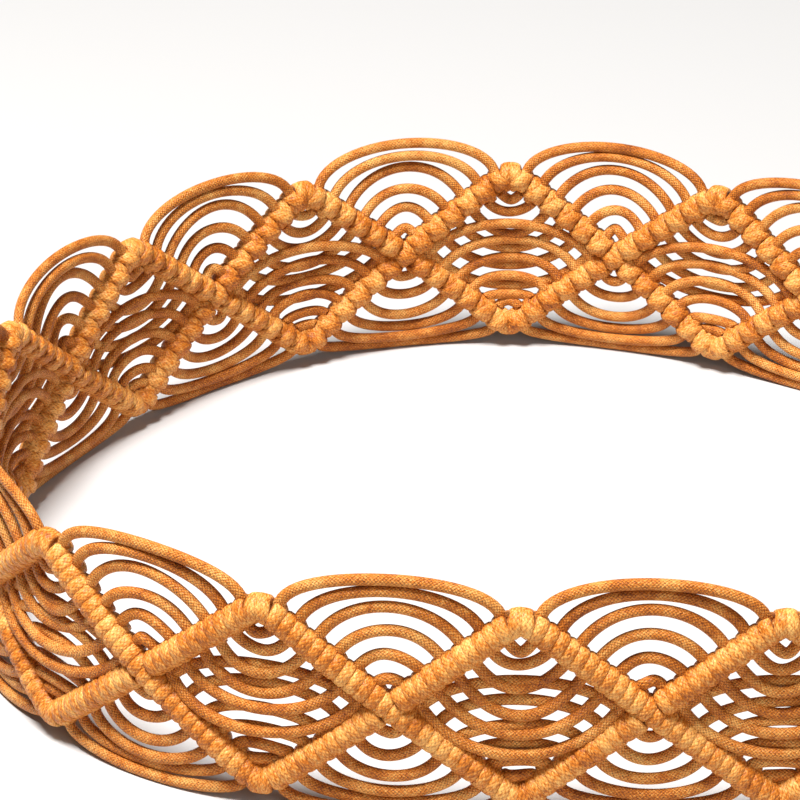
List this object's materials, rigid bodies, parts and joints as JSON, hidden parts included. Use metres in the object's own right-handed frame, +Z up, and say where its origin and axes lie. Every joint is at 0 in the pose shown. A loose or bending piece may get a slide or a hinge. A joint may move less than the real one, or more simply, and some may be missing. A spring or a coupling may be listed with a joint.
{
  "type": "rope belt",
  "caption": "Waist belt knotted from waxed cotton cord: crossing zigzag bars with nested arcs of cord between them, closed into a loop.",
  "frame": {"origin": "middle of the loop's bounding box, on the surface that the lower edge stands on", "axes": "+Z up through the loop, +X along its long side with the closing tie at +X, -Y the side that faces the viewer"},
  "size_m": [0.302, 0.2464, 0.0585],
  "materials": {
    "knotted_bars": "waxed cotton cord wound tightly round a filler cord, satin",
    "cord_arcs": "braided waxed cotton cord, satin",
    "tie_cord": "waxed cotton cord wound round the ends, satin"
  },
  "bodies": {
    "root": {"falling_bar_00": "knotted_bars", "falling_bar_01": "knotted_bars", "falling_bar_02": "knotted_bars", "falling_bar_03": "knotted_bars", "falling_bar_04": "knotted_bars", "falling_bar_05": "knotted_bars", "falling_bar_06": "knotted_bars", "falling_bar_07": "knotted_bars", "falling_bar_08": "knotted_bars", "falling_bar_09": "knotted_bars", "falling_bar_10": "knotted_bars", "falling_bar_11": "knotted_bars", "falling_bar_12": "knotted_bars", "falling_bar_13": "knotted_bars", "falling_bar_14": "knotted_bars", "upper_arcs_01": "cord_arcs", "upper_arcs_02": "cord_arcs", "upper_arcs_03": "cord_arcs", "upper_arcs_04": "cord_arcs", "upper_arcs_05": "cord_arcs", "upper_arcs_06": "cord_arcs", "upper_arcs_07": "cord_arcs", "upper_arcs_08": "cord_arcs", "upper_arcs_09": "cord_arcs", "upper_arcs_10": "cord_arcs", "upper_arcs_11": "cord_arcs", "upper_arcs_12": "cord_arcs", "upper_arcs_13": "cord_arcs", "upper_arcs_14": "cord_arcs", "lower_arcs_01": "cord_arcs", "lower_arcs_02": "cord_arcs", "lower_arcs_03": "cord_arcs", "lower_arcs_04": "cord_arcs", "lower_arcs_05": "cord_arcs", "lower_arcs_06": "cord_arcs", "lower_arcs_07": "cord_arcs", "lower_arcs_08": "cord_arcs", "lower_arcs_09": "cord_arcs", "lower_arcs_10": "cord_arcs", "lower_arcs_11": "cord_arcs", "lower_arcs_12": "cord_arcs", "lower_arcs_13": "cord_arcs", "lower_arcs_14": "cord_arcs", "start_gather": "cord_arcs", "end_gather": "cord_arcs", "closing_tie": "tie_cord"}
  },
  "joints": []
}
